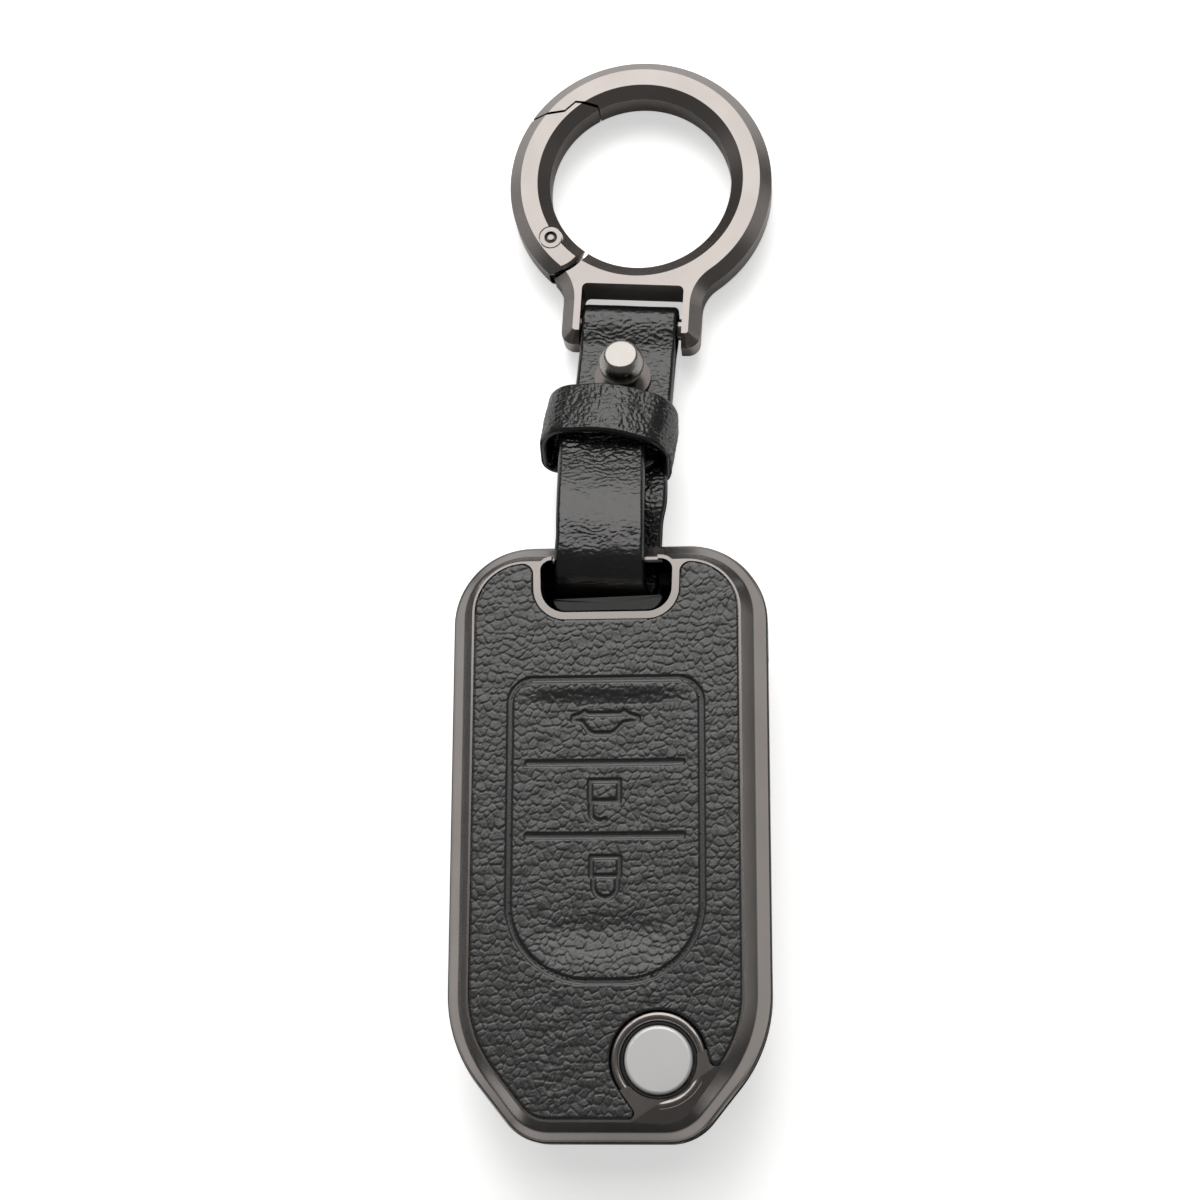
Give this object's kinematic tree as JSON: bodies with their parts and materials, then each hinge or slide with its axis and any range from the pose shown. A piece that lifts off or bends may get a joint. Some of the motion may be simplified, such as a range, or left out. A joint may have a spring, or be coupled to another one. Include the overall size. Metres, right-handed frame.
{
  "type": "key fob cover",
  "caption": "Metal-framed key fob cover with leather faces, soft key fields and a release button, hung by a looped leather strap from a round ring with a spring gate.",
  "frame": {"origin": "middle of the case's back face, on which the cover lies", "axes": "+Y from the case towards the ring, +X to the right as seen from the front, +Z from the back face to the front with the keys"},
  "size_m": [0.0433, 0.1533, 0.0203],
  "materials": {
    "gunmetal": "satin",
    "silver_cap": "satin",
    "pebbled_leather": "satin",
    "strap_leather": "satin",
    "liner": "matte",
    "spring_wire": "satin"
  },
  "bodies": {
    "case": {"front_frame": "gunmetal", "front_leather": "pebbled_leather", "front_liner": "liner"},
    "back_cover": {"back_frame": "gunmetal", "back_leather": "pebbled_leather", "back_liner": "liner"},
    "trunk_key": {"trunk_key_face": "pebbled_leather", "trunk_key_plunger": "liner"},
    "unlock_key": {"unlock_key_face": "pebbled_leather", "unlock_key_plunger": "liner"},
    "lock_key": {"lock_key_face": "pebbled_leather", "lock_key_plunger": "liner"},
    "release_button": {"release_button": "silver_cap", "release_pad": "liner"},
    "strap": {"strap": "strap_leather", "stud_ball": "gunmetal", "stud_screw": "gunmetal"},
    "keeper": {"keeper": "strap_leather"},
    "ring": {"ring_body": "gunmetal", "gate_pin": "gunmetal", "gate_spring": "spring_wire"},
    "gate": {"gate": "gunmetal"}
  },
  "joints": [
    {"name": "back_off", "type": "slide", "parent": "case", "child": "back_cover", "axis": [0, 0, -1], "range_m": [0, 0.025]},
    {"name": "trunk_press", "type": "slide", "parent": "case", "child": "trunk_key", "axis": [0, 0, -1], "range_m": [0, 0.0005], "stiffness_N_per_m": 800, "springref_m": -0.0003},
    {"name": "unlock_press", "type": "slide", "parent": "case", "child": "unlock_key", "axis": [0, 0, -1], "range_m": [0, 0.0005], "stiffness_N_per_m": 800, "springref_m": -0.0003},
    {"name": "lock_press", "type": "slide", "parent": "case", "child": "lock_key", "axis": [0, 0, -1], "range_m": [0, 0.0005], "stiffness_N_per_m": 800, "springref_m": -0.0003},
    {"name": "release_press", "type": "slide", "parent": "case", "child": "release_button", "axis": [0, 0, -1], "range_m": [0, 0.0008], "stiffness_N_per_m": 800, "springref_m": -0.0005},
    {"name": "strap_swing", "type": "hinge", "parent": "case", "child": "strap", "pos_m": [0, 0.03745, 0.0139], "axis": [0.9981, -0.061, 0], "range_deg": [-50, 100]},
    {"name": "keeper_slide", "type": "slide", "parent": "strap", "child": "keeper", "axis": [0.0586, 0.958, -0.2806], "range_m": [-0.005, 0]},
    {"name": "ring_swing", "type": "hinge", "parent": "strap", "child": "ring", "pos_m": [0.00223, 0.07398, 0.0032], "axis": [0.9981, -0.061, 0], "range_deg": [-75, 85]},
    {"name": "gate_open", "type": "hinge", "parent": "ring", "child": "gate", "pos_m": [-0.00917, 0.08683, 0.0032], "axis": [0, 0, -1], "range_deg": [0, 30], "stiffness_Nm_per_rad": 0.02, "springref_deg": -20.05, "deforming": ["gate_spring"]}
  ]
}
